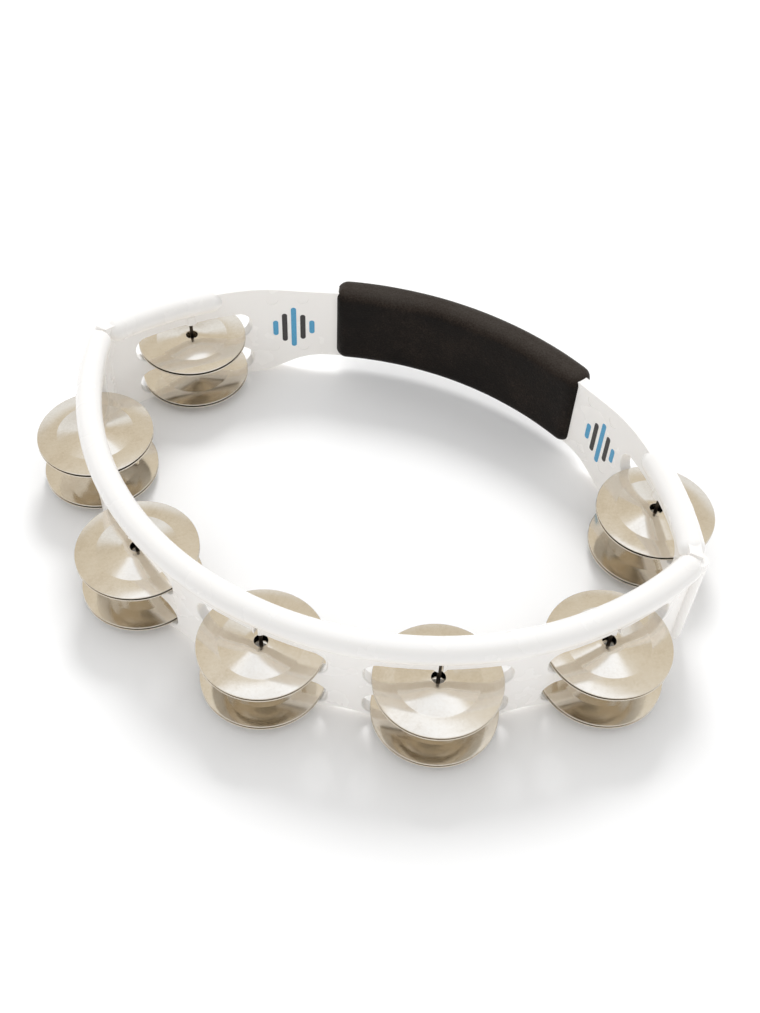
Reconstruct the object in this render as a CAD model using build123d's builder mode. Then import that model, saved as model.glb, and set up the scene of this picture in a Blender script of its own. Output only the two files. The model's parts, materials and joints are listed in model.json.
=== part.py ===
from build123d import *
import math
import os

# Hand tambourine with an eye-shaped plan: a white moulded frame of two arcs that meet at the side
# corners, a rubber grip on the back arc, and seven steel pins that each carry four loose jingles.
# Millimetres, +Z up. The origin is the bottom centre of the whole object, and +Y points to the grip.

# Plan of the frame: the centrelines of the front and back walls are arcs about points on the Y axis
FRONT_RADIUS = 144.5
FRONT_CENTRE_Y = 60.1
BACK_RADIUS = 150.5
BACK_CENTRE_Y = -48.6
WALL = 5.0

# Heights of the frame
FRONT_TOP = 50.0
BACK_TOP = 51.2
WAIST_TOP = 48.0
WAIST_BOTTOM = 9.5
TOP_DIP_FROM = 100.0
TOP_DIP_TO = 60.0
BOTTOM_RISE_FROM = 95.0
BOTTOM_RISE_TO = 62.0

# Round bead along the top of the walls
BEAD_RADIUS = 5.4
BEAD_CENTRE = 46.6
FRONT_BEAD_SHORT = 4.5
BACK_BEAD_SHORT = 7.5
BACK_BEAD_END_X = 107.0

# Round post that closes each side corner
POST_RADIUS = 3.6
POST_SHIFT = 1.6
POST_TOP = 49.6

# Stations: one pin each, numbered from the left of the grip round the front to its right
STATIONS = range(1, 8)
FRONT_PITCH = 27.5
BACK_ANGLE = 49.3

# Slots, two at each station, one above the other
SLOT_LENGTH = 56.0
SLOT_HEIGHT = 13.5
SLOT_CORNER = 6.0
SLOT_EDGE = 0.6
SLOT_FLOORS = {"lower": 3.3, "upper": 23.8}

# Boss round the pin above each slot, just proud of the slot's roof, and the notch in the outer face
# that bares the pin between the upper slot and the bead
BOSS_RADIUS = 3.3
BOSS_DROP = 0.3
BOSS_HEIGHT = 4.2
NOTCH_WIDTH = 1.8
NOTCH_TOP = 41.5

# Shallow arches in the bottom edge, between the front stations
ARCH_RISE = 3.75
ARCH_HALF_CHORD = 14.0

# Faint round marks that the mould's ejectors leave on the inside of the back wall
EJECTOR_RADIUS = 2.7
EJECTOR_DEPTH = 0.2
EJECTOR_ANGLES = (29.0, 34.5)
EJECTOR_HEIGHTS = (15.0, 44.0)

# Grip: a round-ended rubber sleeve over the back wall, which is a little lower inside it. It sits
# slightly to the right of the middle.
GRIP_MIDDLE_ANGLE = 88.7
GRIP_HALF_ANGLE = 24.15
GRIP_INNER_OVERHANG = 6.0
GRIP_OUTER_OVERHANG = 7.5
GRIP_BOTTOM = 9.0
GRIP_TOP = 50.4
GRIP_EDGE = 5.2
REBATE_HALF_ANGLE = 21.0
REBATE_BOTTOM = 11.5
REBATE_TOP = 46.5

# Pin pressed up into the bead, with its foot just inside the bottom rail
PIN_RADIUS = 0.8
PIN_FOOT = 0.8
PIN_TOP = 44.0

# Jingle: a shallow pressed cone in three steps, with a hole. Rises are those of its hollow side
# above the rim.
JINGLE_RADIUS = 25.0
JINGLE_CREASE_RADIUS = 16.5
JINGLE_RING_RADIUS = 7.5
JINGLE_HOLE_RADIUS = 2.75
JINGLE_SHEET = 0.5
CREASE_RISE = 0.35
RING_RISE = 1.05
CROWN_RISE = 1.45
CREASE_BLEND = 1.0

# Room round the loose jingles: a pair stands rim to rim, held a little apart
REST_GAP = 0.25
ROOF_GAP = 0.3
PAIR_GAP = 1.0

CORNER_Y = (
    (FRONT_CENTRE_Y**2 - BACK_CENTRE_Y**2 - FRONT_RADIUS**2 + BACK_RADIUS**2)
    / (2 * (FRONT_CENTRE_Y - BACK_CENTRE_Y))
)
CORNER_X = math.sqrt(FRONT_RADIUS**2 - (CORNER_Y - FRONT_CENTRE_Y) ** 2)
FRONT_CORNER_ANGLE = math.degrees(math.atan2(CORNER_X, FRONT_CENTRE_Y - CORNER_Y))
BACK_CORNER_ANGLE = math.degrees(math.atan2(CORNER_X, CORNER_Y - BACK_CENTRE_Y))
REACH = 200.0


def arc_point(centre_y, radius, angle, height=0.0):
    """Point on an arc about (0, centre_y), by its angle from +X in degrees."""
    turn = math.radians(angle)
    return (radius * math.cos(turn), centre_y + radius * math.sin(turn), height)


def radial_plane(centre_y, radius, angle, height=0.0):
    """Plane across a wall: local x runs along the wall, local y is up, the normal points outward."""
    turn = math.radians(angle)
    return Plane(
        origin=arc_point(centre_y, radius, angle, height),
        x_dir=(-math.sin(turn), math.cos(turn), 0),
        z_dir=(math.cos(turn), math.sin(turn), 0),
    )


def station_arc(station):
    """Arc centre, arc radius and angle of a station."""
    if station == 1:
        return BACK_CENTRE_Y, BACK_RADIUS, 90 + BACK_ANGLE
    if station == 7:
        return BACK_CENTRE_Y, BACK_RADIUS, 90 - BACK_ANGLE
    return FRONT_CENTRE_Y, FRONT_RADIUS, -90 + (station - 4) * FRONT_PITCH


def arc_band(centre_y, inner, outer, start, end):
    """Sketch of the band between two radii of one arc."""
    with BuildSketch() as band:
        with BuildLine():
            far = CenterArc((0, centre_y), outer, start, end - start)
            near = CenterArc((0, centre_y), inner, start, end - start)
            Line(far @ 0, near @ 0)
            Line(far @ 1, near @ 1)
        make_face()
    return band.sketch


def follows_wall(edge):
    """Whether an edge lies along a wall face, rather than across the wall."""
    start = edge @ 0
    end = edge @ 1
    for centre_y in (FRONT_CENTRE_Y, BACK_CENTRE_Y):
        start_radius = math.hypot(start.X, start.Y - centre_y)
        end_radius = math.hypot(end.X, end.Y - centre_y)
        if abs(start_radius - end_radius) < 0.01:
            return True
    return False


def middle_of(edge):
    """Sort key that puts edges in one fixed order, so that a fillet always comes out the same."""
    middle = edge @ 0.5
    return round(middle.Z, 3), round(middle.X, 3), round(middle.Y, 3)


# ---- Frame -------------------------------------------------------------------------------------
with BuildSketch() as inner_eye:
    with Locations((0, FRONT_CENTRE_Y)):
        Circle(FRONT_RADIUS - WALL / 2)
    with Locations((0, BACK_CENTRE_Y)):
        Circle(BACK_RADIUS - WALL / 2, mode=Mode.INTERSECT)

with BuildPart() as frame:
    # the two walls are the ring between a larger and a smaller eye
    with BuildSketch():
        with Locations((0, FRONT_CENTRE_Y)):
            Circle(FRONT_RADIUS + WALL / 2)
        with Locations((0, BACK_CENTRE_Y)):
            Circle(BACK_RADIUS + WALL / 2, mode=Mode.INTERSECT)
        add(inner_eye.sketch, mode=Mode.SUBTRACT)
    extrude(amount=BACK_TOP)

    # the front wall ends inside its bead
    with BuildSketch(Plane.XY.offset(FRONT_TOP)):
        with Locations((0, CORNER_Y - REACH / 2)):
            Rectangle(2 * REACH, REACH)
    extrude(amount=REACH, mode=Mode.SUBTRACT)

    # the back wall narrows towards the grip, by an S-curve in its top and in its bottom edge
    with BuildSketch(Plane.XZ.offset(-REACH)):
        with BuildLine():
            top_middle = (TOP_DIP_FROM + TOP_DIP_TO) / 2
            top_right = Bezier(
                (TOP_DIP_TO, WAIST_TOP), (top_middle, WAIST_TOP), (top_middle, BACK_TOP), (TOP_DIP_FROM, BACK_TOP)
            )
            top_left = mirror(top_right, about=Plane.YZ)
            Line((-TOP_DIP_TO, WAIST_TOP), (TOP_DIP_TO, WAIST_TOP))
            Polyline((TOP_DIP_FROM, BACK_TOP), (TOP_DIP_FROM, REACH), (-TOP_DIP_FROM, REACH), (-TOP_DIP_FROM, BACK_TOP))
        make_face()
        with BuildLine():
            low_middle = (BOTTOM_RISE_FROM + BOTTOM_RISE_TO) / 2
            low_right = Bezier(
                (BOTTOM_RISE_TO, WAIST_BOTTOM), (low_middle, WAIST_BOTTOM), (low_middle, 0), (BOTTOM_RISE_FROM, 0)
            )
            low_left = mirror(low_right, about=Plane.YZ)
            Line((-BOTTOM_RISE_TO, WAIST_BOTTOM), (BOTTOM_RISE_TO, WAIST_BOTTOM))
            Polyline((BOTTOM_RISE_FROM, 0), (BOTTOM_RISE_FROM, -REACH), (-BOTTOM_RISE_FROM, -REACH), (-BOTTOM_RISE_FROM, 0))
        make_face()
    extrude(amount=REACH - CORNER_Y, mode=Mode.SUBTRACT)

    # the wall is a little lower inside the grip
    rebate_from = GRIP_MIDDLE_ANGLE - REBATE_HALF_ANGLE
    rebate_to = GRIP_MIDDLE_ANGLE + REBATE_HALF_ANGLE
    with BuildSketch(Plane.XY.offset(REBATE_TOP)):
        add(arc_band(BACK_CENTRE_Y, BACK_RADIUS - WALL, BACK_RADIUS + WALL, rebate_from, rebate_to))
    extrude(amount=BACK_TOP - REBATE_TOP, mode=Mode.SUBTRACT)
    with BuildSketch():
        add(arc_band(BACK_CENTRE_Y, BACK_RADIUS - WALL, BACK_RADIUS + WALL, rebate_from, rebate_to))
    extrude(amount=REBATE_BOTTOM, mode=Mode.SUBTRACT)

    # round posts at the corners
    with BuildSketch():
        with Locations((CORNER_X + POST_SHIFT, CORNER_Y), (-CORNER_X - POST_SHIFT, CORNER_Y)):
            Circle(POST_RADIUS)
    extrude(amount=POST_TOP)

    # shallow arches in the bottom edge, midway between the front stations
    for gap in (-1.5, -0.5, 0.5, 1.5):
        arch_radius = (ARCH_HALF_CHORD**2 + ARCH_RISE**2) / (2 * ARCH_RISE)
        arch_plane = radial_plane(FRONT_CENTRE_Y, FRONT_RADIUS, -90 + gap * FRONT_PITCH, ARCH_RISE - arch_radius)
        with BuildSketch(arch_plane):
            Circle(arch_radius)
        extrude(amount=2 * WALL, both=True, mode=Mode.SUBTRACT)

    # slots for the jingles
    for station in STATIONS:
        for floor in SLOT_FLOORS.values():
            with BuildSketch(radial_plane(*station_arc(station), floor + SLOT_HEIGHT / 2)):
                RectangleRounded(SLOT_LENGTH, SLOT_HEIGHT, SLOT_CORNER)
            extrude(amount=2 * WALL, both=True, mode=Mode.SUBTRACT)
            slot_edges = edges(Select.LAST).filter_by(follows_wall)
            fillet(slot_edges.sort_by(middle_of), SLOT_EDGE)

    # beads: one along the whole front, and one from each corner to the S-curve of the back wall
    front_half = FRONT_CORNER_ANGLE - math.degrees(FRONT_BEAD_SHORT / FRONT_RADIUS)
    back_start = 90 - BACK_CORNER_ANGLE + math.degrees(BACK_BEAD_SHORT / BACK_RADIUS)
    back_end = math.degrees(math.acos(BACK_BEAD_END_X / BACK_RADIUS))
    for centre_y, radius, start, end in (
        (FRONT_CENTRE_Y, FRONT_RADIUS, -90 - front_half, -90 + front_half),
        (BACK_CENTRE_Y, BACK_RADIUS, back_start, back_end),
        (BACK_CENTRE_Y, BACK_RADIUS, 180 - back_end, 180 - back_start),
    ):
        with BuildLine(Plane.XY.offset(BEAD_CENTRE)) as bead_path:
            CenterArc((0, centre_y), radius, start, end - start)
        with BuildSketch(Plane(bead_path.line @ 0, z_dir=bead_path.line % 0)):
            Circle(BEAD_RADIUS)
        sweep(path=bead_path.line)
        with Locations(bead_path.line @ 0, bead_path.line @ 1):
            Sphere(BEAD_RADIUS)

    # bosses round the pins above the slots, the notches and the pin holes
    for station in STATIONS:
        for floor in SLOT_FLOORS.values():
            roof = floor + SLOT_HEIGHT
            with BuildSketch(Plane.XY.offset(roof - BOSS_DROP)):
                with Locations(arc_point(*station_arc(station))):
                    Circle(BOSS_RADIUS)
            extrude(amount=BOSS_DROP + BOSS_HEIGHT)
        notch_height = NOTCH_TOP - roof + BOSS_DROP
        with BuildSketch(radial_plane(*station_arc(station), NOTCH_TOP - notch_height / 2)):
            Rectangle(NOTCH_WIDTH, notch_height)
        extrude(amount=BOSS_RADIUS, mode=Mode.SUBTRACT)
    with BuildSketch():
        with Locations([arc_point(*station_arc(station)) for station in STATIONS]):
            Circle(PIN_RADIUS)
    extrude(amount=PIN_TOP, mode=Mode.SUBTRACT)

    # ejector marks on the inside of the back wall
    for side in (-1, 1):
        for angle in EJECTOR_ANGLES:
            for height in EJECTOR_HEIGHTS:
                mark_radius = BACK_RADIUS - WALL / 2 - EJECTOR_DEPTH * 4
                with BuildSketch(radial_plane(BACK_CENTRE_Y, mark_radius, 90 + side * angle, height)):
                    Circle(EJECTOR_RADIUS)
                extrude(amount=EJECTOR_DEPTH * 5, mode=Mode.SUBTRACT)

frame.part.label = "frame"

# ---- Grip --------------------------------------------------------------------------------------
grip_from = GRIP_MIDDLE_ANGLE - GRIP_HALF_ANGLE
grip_to = GRIP_MIDDLE_ANGLE + GRIP_HALF_ANGLE
grip_inner = BACK_RADIUS - GRIP_INNER_OVERHANG
grip_outer = BACK_RADIUS + GRIP_OUTER_OVERHANG
with BuildPart() as grip:
    with BuildSketch(Plane.XY.offset(GRIP_BOTTOM)):
        add(arc_band(BACK_CENTRE_Y, grip_inner, grip_outer, grip_from, grip_to))
    extrude(amount=GRIP_TOP - GRIP_BOTTOM)
    fillet(edges(), GRIP_EDGE)
    add(frame.part, mode=Mode.SUBTRACT)
grip.part.label = "grip"

# ---- Pins --------------------------------------------------------------------------------------
pins = {}
for station in STATIONS:
    with BuildPart() as pin:
        with BuildSketch(Plane.XY.offset(PIN_FOOT)):
            with Locations(arc_point(*station_arc(station))):
                Circle(PIN_RADIUS)
        extrude(amount=PIN_TOP - PIN_FOOT)
    pin.part.label = f"pin_{station}"
    pins[pin.part.label] = pin.part

# ---- Jingles -----------------------------------------------------------------------------------
# Section of a jingle that stands crown up on the plane of its rim
with BuildSketch(Plane.XZ) as jingle_section:
    with BuildLine():
        Polyline(
            (JINGLE_RADIUS, 0),
            (JINGLE_CREASE_RADIUS, CREASE_RISE),
            (JINGLE_RING_RADIUS, RING_RISE),
            (JINGLE_HOLE_RADIUS, CROWN_RISE),
            (JINGLE_HOLE_RADIUS, CROWN_RISE + JINGLE_SHEET),
            (JINGLE_RING_RADIUS, RING_RISE + JINGLE_SHEET),
            (JINGLE_CREASE_RADIUS, CREASE_RISE + JINGLE_SHEET),
            (JINGLE_RADIUS, JINGLE_SHEET),
            close=True,
        )
    make_face()
    creases = [v for v in vertices() if JINGLE_HOLE_RADIUS + 1 < v.X < JINGLE_RADIUS - 1]
    fillet(creases, CREASE_BLEND)

jingles = {}
for station in STATIONS:
    x, y, _ = arc_point(*station_arc(station))
    for slot, floor in SLOT_FLOORS.items():
        bottom_rim = floor + REST_GAP + CROWN_RISE + JINGLE_SHEET
        for place, rim, up in (("bottom", bottom_rim, -1), ("top", bottom_rim + PAIR_GAP, 1)):
            with BuildPart() as jingle:
                with BuildSketch(Plane((x, y, rim), x_dir=(1, 0, 0), z_dir=(0, -up, 0))):
                    add(jingle_section.sketch_local)
                revolve(axis=Axis((x, y, 0), (0, 0, 1)))
            jingle.part.label = f"jingle_{station}_{slot}_{place}"
            jingles[jingle.part.label] = jingle.part

# ---- Travel of the jingles ---------------------------------------------------------------------
top_jingle_crown = REST_GAP + 2 * (CROWN_RISE + JINGLE_SHEET) + PAIR_GAP
travel = SLOT_HEIGHT - BOSS_DROP - ROOF_GAP - top_jingle_crown
print(f"travel of a pair {travel:.3f} mm, corner ({CORNER_X:.2f}, {CORNER_Y:.2f})")

os.makedirs("parts", exist_ok=True)
for solid in [frame.part, grip.part, *pins.values(), *jingles.values()]:
    export_step(solid, f"parts/{solid.label}.step")
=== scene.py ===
import json
import math

import bmesh
import bpy
from mathutils import Matrix, Vector, noise


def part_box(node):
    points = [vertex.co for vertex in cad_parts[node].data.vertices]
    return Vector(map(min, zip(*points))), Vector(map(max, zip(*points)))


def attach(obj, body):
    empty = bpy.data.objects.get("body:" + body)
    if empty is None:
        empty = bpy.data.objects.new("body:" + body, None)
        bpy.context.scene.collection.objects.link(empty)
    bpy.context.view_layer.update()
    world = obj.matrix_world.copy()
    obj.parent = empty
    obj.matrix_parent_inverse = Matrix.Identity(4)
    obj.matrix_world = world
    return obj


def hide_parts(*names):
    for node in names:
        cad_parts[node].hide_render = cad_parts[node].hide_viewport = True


# Hand tambourine on a pale studio floor. Metres, in the frame of the CAD model: +Z up, +Y to the grip.

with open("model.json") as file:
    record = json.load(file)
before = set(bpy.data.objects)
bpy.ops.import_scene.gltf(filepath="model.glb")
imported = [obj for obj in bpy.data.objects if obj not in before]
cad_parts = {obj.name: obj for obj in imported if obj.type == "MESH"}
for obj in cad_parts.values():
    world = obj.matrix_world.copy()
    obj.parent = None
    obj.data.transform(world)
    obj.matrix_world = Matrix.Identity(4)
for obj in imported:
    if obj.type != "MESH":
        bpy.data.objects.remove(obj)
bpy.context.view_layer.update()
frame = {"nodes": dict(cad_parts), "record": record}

MM = 0.001

# Plan of the frame's back wall, which the grip wraps and whose inner face is printed
BACK_RADIUS = 150.5 * MM
BACK_CENTRE_Y = -48.6 * MM
WALL = 5.0 * MM

# Grip, by its angles from +X and its faces. Its surface lies up to GRIP_UNEVEN further in, by two
# noises that are given as scale and share.
GRIP_MIDDLE_ANGLE = math.radians(88.7)
GRIP_HALF_ANGLE = math.radians(24.15)
GRIP_INNER = 144.5 * MM
GRIP_OUTER = 158.0 * MM
GRIP_BOTTOM = 9.0 * MM
GRIP_TOP = 50.4 * MM
GRIP_EDGE = 5.2 * MM
GRIP_UNEVEN = 0.12 * MM
GRIP_LUMPS = ((90, 0.7), (400, 0.3))
GRIP_CORNER_STEPS = 8
GRIP_FLAT_STEPS = 14
GRIP_END_STEPS = 10
GRIP_BODY_STEPS = 80

# Printed mark: five round-ended bars, each given as its height and ink
MARK_ANGLES = (math.radians(120.7), math.radians(57.2))
MARK_HEIGHT = 27.0 * MM
MARK_PITCH = 4.3 * MM
MARK_WIDTH = 2.5 * MM
MARK_LIFT = 0.08 * MM
MARK_BARS = (
    (9 * MM, "blue"),
    (17 * MM, "black"),
    (24 * MM, "blue"),
    (15 * MM, "black"),
    (8 * MM, "blue"),
)
MARK_END_STEPS = 10
INKS = {"blue": (0.07, 0.31, 0.52), "black": (0.03, 0.026, 0.025)}

# Jingle section, as radii and the heights of the hollow side above the rim
JINGLE_RADIUS = 25.0 * MM
CREASE_RADIUS = 16.5 * MM
RING_RADIUS = 7.5 * MM
HOLE_RADIUS = 2.75 * MM
SHEET = 0.5 * MM
CREASE_RISE = 0.35 * MM
RING_RISE = 1.05 * MM
CROWN_RISE = 1.45 * MM
JINGLE_BEND = 0.8 * MM
JINGLE_BEND_STEPS = 4
JINGLE_LIP_STEPS = 6
JINGLE_SEGMENTS = 128

# How much steeper the crown looks than it is, as a slope
CROWN_STEEPER = math.tan(math.radians(8))

# Camera, by the point it looks at and its place round that point
CAMERA_TARGET = Vector((10.3, -2.8, 27.5)) * MM
CAMERA_DISTANCE = 500.3 * MM
CAMERA_AZIMUTH = 23.87
CAMERA_ELEVATION = 50.03
CAMERA_ROLL = 3.02
CAMERA_LENS = 42.5
CAMERA_SENSOR = 36

# Floor and lamp
FLOOR_HALF_WIDTH = 6.0
KEY_PLACE = (-0.53, 1.19, 1.45)
KEY_DIAMETER = 0.6
KEY_POWER = 18

# Light from all round, and the studio that shiny surfaces show instead. Its bands run from the horizon
# (0) to straight up (1), and a slow noise moves their edges up and down.
PLAIN_LIGHT = (0.88, 0.88, 0.88)
STUDIO_BANDS = (
    (0.0, (0.62, 0.58, 0.52)),
    (0.35, (0.9, 0.9, 0.9)),
    (0.56, (1.08, 1.12, 1.18)),
    (0.66, (0.80, 0.73, 0.61)),
    (0.8, (0.87, 0.80, 0.68)),
    (0.905, (0.93, 0.88, 0.79)),
    (0.93, (1.38, 1.45, 1.58)),
    (1.0, (1.15, 1.2, 1.3)),
)
STUDIO_NOISE_SCALE = 2.2
STUDIO_SHIFT = 0.04

# Sockets of a Mix node for colours, which share their names with those for numbers
MIX_FIRST, MIX_SECOND, MIX_RESULT = 6, 7, 2


# ---- Node helpers ------------------------------------------------------------------------------
def fill_ramp(node, stops):
    elements = node.color_ramp.elements
    while len(elements) < len(stops):
        elements.new(0.5)
    for element, (position, colour) in zip(elements, stops):
        element.position = position
        element.color = (*colour, 1.0)


class Shader:
    """A material with one Principled shader, and short calls that add the nodes before it."""

    def __init__(self, name, **constants):
        self.material = bpy.data.materials.new(name)
        self.material.use_nodes = True
        self.tree = self.material.node_tree
        self.principled = self.tree.nodes["Principled BSDF"]
        for socket, value in constants.items():
            self.principled.inputs[socket.replace("_", " ")].default_value = value
        self.place = self.node("ShaderNodeTexCoord").outputs["Object"]

    def node(self, kind, **settings):
        made = self.tree.nodes.new(kind)
        for name, value in settings.items():
            setattr(made, name, value)
        return made

    def link(self, source, target):
        self.tree.links.new(source, target)

    def noise(self, scale, detail=3.0, roughness=0.5, place=None):
        made = self.node("ShaderNodeTexNoise")
        made.inputs["Scale"].default_value = scale
        made.inputs["Detail"].default_value = detail
        made.inputs["Roughness"].default_value = roughness
        self.link(place or self.place, made.inputs["Vector"])
        return made.outputs["Fac"]

    def stretched(self, scale):
        made = self.node("ShaderNodeMapping")
        made.inputs["Scale"].default_value = scale
        self.link(self.place, made.inputs["Vector"])
        return made.outputs["Vector"]

    def ramp(self, source, *stops):
        made = self.node("ShaderNodeValToRGB")
        fill_ramp(made, stops)
        self.link(source, made.inputs["Fac"])
        return made.outputs["Color"]

    def span(self, source, low, high, from_low=0.0, from_high=1.0):
        made = self.node("ShaderNodeMapRange")
        made.inputs["From Min"].default_value = from_low
        made.inputs["From Max"].default_value = from_high
        made.inputs["To Min"].default_value = low
        made.inputs["To Max"].default_value = high
        self.link(source, made.inputs["Value"])
        return made.outputs["Result"]

    def split(self, vector):
        made = self.node("ShaderNodeSeparateXYZ")
        self.link(vector, made.inputs["Vector"])
        return made.outputs

    def facing_up(self):
        return self.split(self.node("ShaderNodeNewGeometry").outputs["Normal"])["Z"]

    def math(self, operation, first, second=None):
        made = self.node("ShaderNodeMath", operation=operation)
        for socket, value in zip(made.inputs, (first, second)):
            if isinstance(value, (int, float)):
                socket.default_value = value
            elif value is not None:
                self.link(value, socket)
        return made.outputs["Value"]

    def blend(self, first, second, share):
        """The first source by its share, and the second by the rest."""
        parts = self.math("MULTIPLY", first, share), self.math("MULTIPLY", second, 1 - share)
        return self.math("ADD", *parts)

    def bump(self, height, distance, strength=1.0, after=None):
        made = self.node("ShaderNodeBump")
        made.inputs["Strength"].default_value = strength
        made.inputs["Distance"].default_value = distance
        self.link(height, made.inputs["Height"])
        if after is not None:
            self.link(after, made.inputs["Normal"])
        return made.outputs["Normal"]

    def set(self, socket, source):
        self.link(source, self.principled.inputs[socket])


# ---- Materials ---------------------------------------------------------------------------------
def white_plastic():
    """Glossy moulded white plastic with faint flow marks.

    It glows a little, most where it faces down, for the warm light that the jingles throw at it.
    """
    shader = Shader(
        "white_plastic",
        IOR=1.5,
        Coat_Weight=0.25,
        Coat_Roughness=0.12,
        Subsurface_Weight=0.05,
        Subsurface_Radius=(3.0 * MM, 2.7 * MM, 2.4 * MM),
        Subsurface_Scale=1.0,
        Emission_Color=(1.0, 0.9, 0.78, 1.0),
    )
    flow = shader.noise(9)
    whites = (0.3, (0.82, 0.808, 0.79)), (0.7, (0.84, 0.832, 0.82))
    shader.set("Base Color", shader.ramp(flow, *whites))
    shader.set("Roughness", shader.span(shader.noise(60), 0.24, 0.3))
    shader.set("Emission Strength", shader.span(shader.facing_up(), 0.24, 0.04, -0.7, 0.3))
    shader.set("Normal", shader.bump(shader.noise(2600, detail=1), 0.002 * MM, 0.5))
    return shader.material


def grip_rubber():
    """Black-brown rubber with a fine leathery grain, made paler on top by a painted highlight."""
    shader = Shader("grip_rubber", IOR=1.45, Specular_IOR_Level=0.14)
    speckle = shader.noise(1500, detail=3, roughness=0.7)
    patches = shader.noise(40, detail=4, roughness=0.6)
    # Painted highlight: the colour is lighter where the rubber faces up, standing in for the light
    # that falls on its top.
    painted_top_highlight = shader.span(shader.facing_up(), 0.0, 0.3, 0.0, 0.9)
    tone = shader.math("ADD", shader.blend(speckle, patches, 0.6), painted_top_highlight)
    browns = (
        (0.38, (0.003, 0.002, 0.0015)),
        (0.52, (0.008, 0.0055, 0.004)),
        (0.64, (0.022, 0.015, 0.011)),
        (0.95, (0.05, 0.043, 0.037)),
    )
    shader.set("Base Color", shader.ramp(tone, *browns))
    shader.set("Roughness", shader.span(patches, 0.42, 0.6))
    cells = shader.node("ShaderNodeTexVoronoi", feature="SMOOTH_F1")
    cells.inputs["Scale"].default_value = 1300
    shader.link(shader.place, cells.inputs["Vector"])
    grain = shader.bump(cells.outputs["Distance"], 0.15 * MM, 0.7)
    shader.set("Normal", shader.bump(shader.noise(260, detail=5), 0.4 * MM, 0.5, after=grain))
    return shader.material


def pin_steel():
    """Steel wire with a near-black brown base colour and fine drawing marks along it."""
    shader = Shader("pin_steel", Metallic=1.0)
    drawn = shader.noise(1.0, detail=4, place=shader.stretched((6000, 6000, 60)))
    browns = (0.3, (0.035, 0.026, 0.02)), (0.7, (0.09, 0.075, 0.06))
    shader.set("Base Color", shader.ramp(drawn, *browns))
    shader.set("Roughness", shader.span(drawn, 0.3, 0.5))
    shader.set("Normal", shader.bump(drawn, 0.02 * MM, 0.5))
    return shader.material


def jingle_nickel():
    """Nickel-plated pressed steel, spun in fine rings, with a slight haze and a little tarnish.

    The crown catches more light than its height explains, so a bump makes it look steeper than it is.
    """
    shader = Shader("jingle_nickel", Metallic=1.0, Anisotropic=0.2)
    round_the_hole = shader.node("ShaderNodeTangent", direction_type="RADIAL", axis="Z")
    shader.set("Tangent", round_the_hole.outputs["Tangent"])
    place = shader.split(shader.place)
    squares = [shader.math("MULTIPLY", place[axis], place[axis]) for axis in ("X", "Y")]
    radius = shader.math("SQRT", shader.math("ADD", *squares))
    ring = shader.node("ShaderNodeCombineXYZ")
    shader.link(radius, ring.inputs["X"])
    spun = shader.noise(3500, place=ring.outputs["Vector"])
    haze = shader.noise(60, detail=5, roughness=0.6)
    grime = shader.noise(900, detail=4, roughness=0.7)
    nickels = (0.34, (0.64, 0.58, 0.49)), (0.5, (0.71, 0.66, 0.58)), (0.66, (0.74, 0.70, 0.63))
    shader.set("Base Color", shader.ramp(shader.blend(haze, grime, 0.6), *nickels))
    shader.set("Roughness", shader.span(shader.blend(spun, haze, 0.5), 0.08, 0.18, 0.35, 0.65))
    steeper = shader.math("MINIMUM", radius, CREASE_RADIUS)
    crown = shader.bump(shader.math("MULTIPLY", steeper, -CROWN_STEEPER), 1.0)
    shader.set("Normal", shader.bump(spun, 0.0025 * MM, 0.5, after=crown))
    return shader.material


def print_ink(name, colour):
    """Pad-printed ink, slightly uneven."""
    shader = Shader(name, IOR=1.5)
    speckle = shader.noise(2500)
    paler = tuple(channel * 1.25 + 0.01 for channel in colour)
    shader.set("Base Color", shader.ramp(speckle, (0.35, colour), (0.65, paler)))
    shader.set("Roughness", shader.span(speckle, 0.35, 0.5))
    return shader.material


# ---- Meshes ------------------------------------------------------------------------------------
def new_piece(name, points, faces, material, smooth=True):
    """Object made of the faces, turned to face outwards."""
    mesh = bpy.data.meshes.new(name)
    mesh.from_pydata(points, [], faces)
    mesh.validate()
    shell = bmesh.new()
    shell.from_mesh(mesh)
    bmesh.ops.recalc_face_normals(shell, faces=shell.faces)
    shell.to_mesh(mesh)
    shell.free()
    mesh.polygons.foreach_set("use_smooth", [smooth] * len(mesh.polygons))
    mesh.materials.append(material)
    piece = bpy.data.objects.new(name, mesh)
    bpy.context.scene.collection.objects.link(piece)
    return piece


def blended(corners):
    """Outline through the corners, each inner one rounded by a short quadratic curve."""
    outline = [corners[0]]
    for before, corner, after in zip(corners, corners[1:], corners[2:]):
        corner = Vector(corner)
        start, end = (
            corner + (Vector(other) - corner).normalized() * JINGLE_BEND for other in (before, after)
        )
        for step in range(JINGLE_BEND_STEPS + 1):
            t = step / JINGLE_BEND_STEPS
            outline.append(tuple(start * (1 - t) ** 2 + corner * 2 * t * (1 - t) + end * t**2))
    outline.append(corners[-1])
    return outline


def jingle_outline():
    """Closed section of a jingle that stands crown up: radius and height above its rim."""
    half_sheet = SHEET / 2
    under = blended(
        [
            (JINGLE_RADIUS - half_sheet, 0),
            (CREASE_RADIUS, CREASE_RISE),
            (RING_RADIUS, RING_RISE),
            (HOLE_RADIUS + half_sheet, CROWN_RISE),
        ]
    )
    over = [(radius, height + SHEET) for radius, height in reversed(under)]
    turns = [math.pi * k / JINGLE_LIP_STEPS for k in range(1, JINGLE_LIP_STEPS)]
    lip = [
        (HOLE_RADIUS + half_sheet * (1 - math.sin(t)), CROWN_RISE + half_sheet * (1 - math.cos(t)))
        for t in turns
    ]
    rim = [
        (JINGLE_RADIUS - half_sheet * (1 - math.sin(t)), half_sheet * (1 + math.cos(t)))
        for t in turns
    ]
    return under + lip + over + rim


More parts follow.
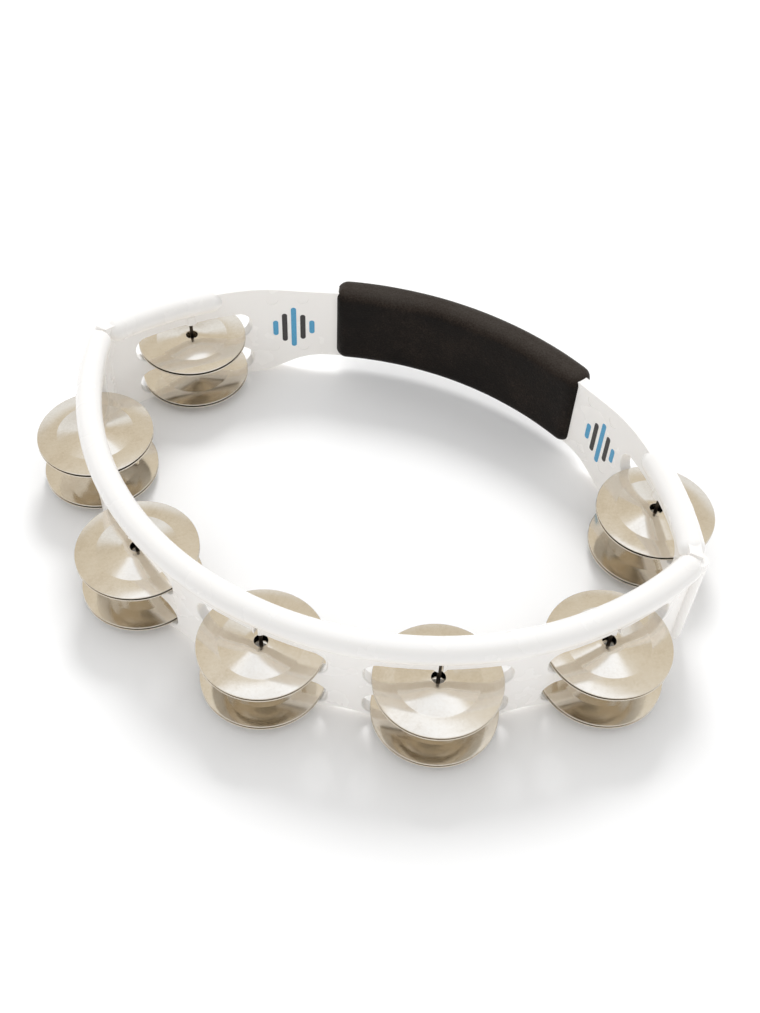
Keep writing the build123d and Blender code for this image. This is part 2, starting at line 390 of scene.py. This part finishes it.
def jingle_mesh_data(crown_up):
    """Points and faces of a jingle that stands on z = 0, on its rim or on its crown."""
    outline = jingle_outline()
    lowest = min(height for _, height in outline)
    highest = max(height for _, height in outline)
    points = []
    for segment in range(JINGLE_SEGMENTS):
        turn = 2 * math.pi * segment / JINGLE_SEGMENTS
        for radius, height in outline:
            z = height - lowest if crown_up else highest - height
            points.append((radius * math.cos(turn), radius * math.sin(turn), z))
    count = len(outline)
    faces = []
    for segment in range(JINGLE_SEGMENTS):
        here = segment * count
        there = (segment + 1) % JINGLE_SEGMENTS * count
        for k in range(count):
            n = (k + 1) % count
            face = (here + k, here + n, there + n, there + k)
            faces.append(face if crown_up else face[::-1])
    return points, faces


def make_jingle(node, material):
    low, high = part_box(node)
    points, faces = jingle_mesh_data(crown_up=node.endswith("_top"))
    piece = new_piece(f"{node}_disc", points, faces, material)
    piece.location = ((low[0] + high[0]) / 2, (low[1] + high[1]) / 2, low[2])
    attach(piece, node)
    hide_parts(node)


def on_arc(radius, angle, height):
    """Point about the centre of the frame's back arc."""
    return Vector((radius * math.cos(angle), BACK_CENTRE_Y + radius * math.sin(angle), height))


def grip_outline(inset):
    """Points round the grip's section, pulled in by an inset: offset across the wall and up it."""
    half_width = (GRIP_OUTER - GRIP_INNER) / 2 - inset
    half_height = (GRIP_TOP - GRIP_BOTTOM) / 2 - inset
    corner = GRIP_EDGE - inset
    points = []
    for quarter, (across, up) in enumerate(((1, 1), (-1, 1), (-1, -1), (1, -1))):
        middle = Vector((across * (half_width - corner), up * (half_height - corner)))
        for step in range(GRIP_CORNER_STEPS + 1):
            turn = math.pi / 2 * (quarter + step / GRIP_CORNER_STEPS)
            points.append(middle + Vector((math.cos(turn), math.sin(turn))) * corner)
        last = points[-1]
        flat = (Vector((-2 * last.x, 0)), Vector((0, -2 * last.y)))[quarter % 2]
        points += [last + flat * step / GRIP_FLAT_STEPS for step in range(1, GRIP_FLAT_STEPS)]
    return points


def grip_stations():
    """Places along the grip from its middle, each with the inset of the section there."""
    length = (GRIP_OUTER + GRIP_INNER) / 2 * GRIP_HALF_ANGLE
    rounding = []
    for step in range(GRIP_END_STEPS + 1):
        turn = math.pi / 2 * step / GRIP_END_STEPS
        place = length - GRIP_EDGE * (1 - math.cos(turn))
        rounding.append((place, GRIP_EDGE * (1 - math.sin(turn))))
    body = length - GRIP_EDGE
    middle = [
        (body - 2 * body * step / GRIP_BODY_STEPS, 0) for step in range(1, GRIP_BODY_STEPS)
    ]
    return rounding + middle + [(-place, inset) for place, inset in reversed(rounding)]


def lumps(point):
    """Slow and quick waves of the moulded rubber, from 0 to 1."""
    waves = sum((0.5 + 0.5 * noise.noise(point * scale)) * share for scale, share in GRIP_LUMPS)
    return max(0, min(1, waves))


def make_grip(material):
    middle_radius = (GRIP_OUTER + GRIP_INNER) / 2
    middle_height = (GRIP_TOP + GRIP_BOTTOM) / 2
    along = grip_stations()
    points = []
    for place, inset in along:
        for offset in grip_outline(inset):
            angle = GRIP_MIDDLE_ANGLE + place / middle_radius
            centre = on_arc(middle_radius, angle, middle_height)
            point = on_arc(middle_radius + offset.x, angle, middle_height + offset.y)
            points.append(point + (centre - point).normalized() * GRIP_UNEVEN * lumps(point))
    count = len(grip_outline(0))
    faces = [tuple(range(count)), tuple(reversed(range(len(points) - count, len(points))))]
    for ring in range(len(along) - 1):
        here = ring * count
        there = here + count
        for k in range(count):
            n = (k + 1) % count
            faces.append((here + n, here + k, there + k, there + n))
    piece = new_piece("grip_sleeve", points, faces, material)
    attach(piece, "frame")
    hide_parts("grip")


def make_mark(name, angle, inks):
    """Round-ended bars printed on the inside of the back wall."""
    face_radius = BACK_RADIUS - WALL / 2
    half = MARK_WIDTH / 2
    for number, (height, ink) in enumerate(MARK_BARS):
        middle = angle + (len(MARK_BARS) / 2 - 0.5 - number) * MARK_PITCH / face_radius
        outline = []
        for end in (1, -1):
            for step in range(MARK_END_STEPS + 1):
                turn = math.pi * step / MARK_END_STEPS
                up = height / 2 - half + half * math.sin(turn)
                outline.append((end * half * math.cos(turn), end * up))
        front, back = (
            [on_arc(radius, middle + u / face_radius, MARK_HEIGHT + v) for u, v in outline]
            for radius in (face_radius - MARK_LIFT, face_radius + MARK_LIFT)
        )
        count = len(outline)
        faces = [tuple(range(count)), tuple(reversed(range(count, 2 * count)))]
        faces += [(k, count + k, count + (k + 1) % count, (k + 1) % count) for k in range(count)]
        piece = new_piece(
            f"{name}_bar_{number + 1}", front + back, faces, inks[ink], smooth=False
        )
        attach(piece, "frame")


# ---- Build -------------------------------------------------------------------------------------
finishes = {
    "white_plastic": white_plastic(),
    "pin_steel": pin_steel(),
}
nickel = jingle_nickel()
slots = {row["node"]: row["material_slot"] for row in frame["record"]["subparts"]}
for node, owner in frame["nodes"].items():
    if node.startswith("jingle_"):
        make_jingle(node, nickel)
    elif node == "grip":
        make_grip(grip_rubber())
    else:
        owner.data.materials.clear()
        owner.data.materials.append(finishes[slots[node]])
inks = {name: print_ink(f"{name}_ink", colour) for name, colour in INKS.items()}
for side, angle in zip(("left", "right"), MARK_ANGLES):
    make_mark(f"{side}_mark", angle, inks)


# ---- Stage -------------------------------------------------------------------------------------
def make_floor():
    corners = ((-1, -1), (1, -1), (1, 1), (-1, 1))
    points = [(FLOOR_HALF_WIDTH * x, FLOOR_HALF_WIDTH * y, 0) for x, y in corners]
    shader = Shader("studio_paper", Roughness=0.9)
    whites = (0.3, (0.92, 0.92, 0.92)), (0.7, (0.94, 0.94, 0.94))
    shader.set("Base Color", shader.ramp(shader.noise(12, detail=4), *whites))
    floor = new_piece("floor", points, [(0, 1, 2, 3)], shader.material)


def make_key_light():
    """Round lamp aimed at the object's middle. The metal shows the studio, not the lamp."""
    data = bpy.data.lights.new("key", "AREA")
    data.shape = "DISK"
    data.size = KEY_DIAMETER
    data.energy = KEY_POWER
    light = bpy.data.objects.new("key", data)
    light.location = KEY_PLACE
    light.rotation_euler = (Vector(KEY_PLACE) * -1).to_track_quat("-Z", "Y").to_euler()
    light.visible_glossy = False
    bpy.context.scene.collection.objects.link(light)


def make_camera():
    azimuth = math.radians(CAMERA_AZIMUTH)
    elevation = math.radians(CAMERA_ELEVATION)
    roll = math.radians(CAMERA_ROLL)
    away = Vector(
        (
            math.sin(azimuth) * math.cos(elevation),
            -math.cos(azimuth) * math.cos(elevation),
            math.sin(elevation),
        )
    )
    level_right = Vector((math.cos(azimuth), math.sin(azimuth), 0))
    level_up = away.cross(level_right)
    right = level_right * math.cos(roll) + level_up * math.sin(roll)
    up = level_up * math.cos(roll) - level_right * math.sin(roll)
    data = bpy.data.cameras.new("camera")
    data.lens = CAMERA_LENS
    data.sensor_width = CAMERA_SENSOR
    camera = bpy.data.objects.new("camera", data)
    turn = Matrix((right, up, away)).transposed().to_4x4()
    camera.matrix_world = Matrix.Translation(CAMERA_TARGET + away * CAMERA_DISTANCE) @ turn
    bpy.context.scene.collection.objects.link(camera)
    bpy.context.scene.camera = camera


def make_world():
    """Even neutral light for the plastic and paper, and a studio for shiny surfaces to show.

    The studio has pale walls, a tan band that warms the jingles, and a bright ceiling.
    """
    world = bpy.data.worlds.new("studio")
    bpy.context.scene.world = world
    world.use_nodes = True
    nodes = world.node_tree.nodes
    links = world.node_tree.links
    direction = nodes.new("ShaderNodeTexCoord").outputs["Generated"]
    split = nodes.new("ShaderNodeSeparateXYZ")
    links.new(direction, split.inputs["Vector"])
    uneven = nodes.new("ShaderNodeTexNoise")
    uneven.inputs["Scale"].default_value = STUDIO_NOISE_SCALE
    uneven.inputs["Detail"].default_value = 2
    links.new(direction, uneven.inputs["Vector"])
    shift = nodes.new("ShaderNodeMapRange")
    spans = (
        ("From Min", 0.3),
        ("From Max", 0.7),
        ("To Min", -STUDIO_SHIFT),
        ("To Max", STUDIO_SHIFT),
    )
    for socket, value in spans:
        shift.inputs[socket].default_value = value
    links.new(uneven.outputs["Fac"], shift.inputs["Value"])
    height = nodes.new("ShaderNodeMath")
    links.new(split.outputs["Z"], height.inputs[0])
    links.new(shift.outputs["Result"], height.inputs[1])
    ramp = nodes.new("ShaderNodeValToRGB")
    fill_ramp(ramp, STUDIO_BANDS)
    links.new(height.outputs["Value"], ramp.inputs["Fac"])
    mirrored = nodes.new("ShaderNodeLightPath").outputs["Is Glossy Ray"]
    mix = nodes.new("ShaderNodeMix")
    mix.data_type = "RGBA"
    links.new(mirrored, mix.inputs["Factor"])
    mix.inputs[MIX_FIRST].default_value = (*PLAIN_LIGHT, 1)
    links.new(ramp.outputs["Color"], mix.inputs[MIX_SECOND])
    links.new(mix.outputs[MIX_RESULT], nodes["Background"].inputs["Color"])
    nodes["Background"].inputs["Strength"].default_value = 1.0


make_floor()
make_key_light()
make_world()
make_camera()
bpy.context.scene.view_settings.view_transform = "Standard"
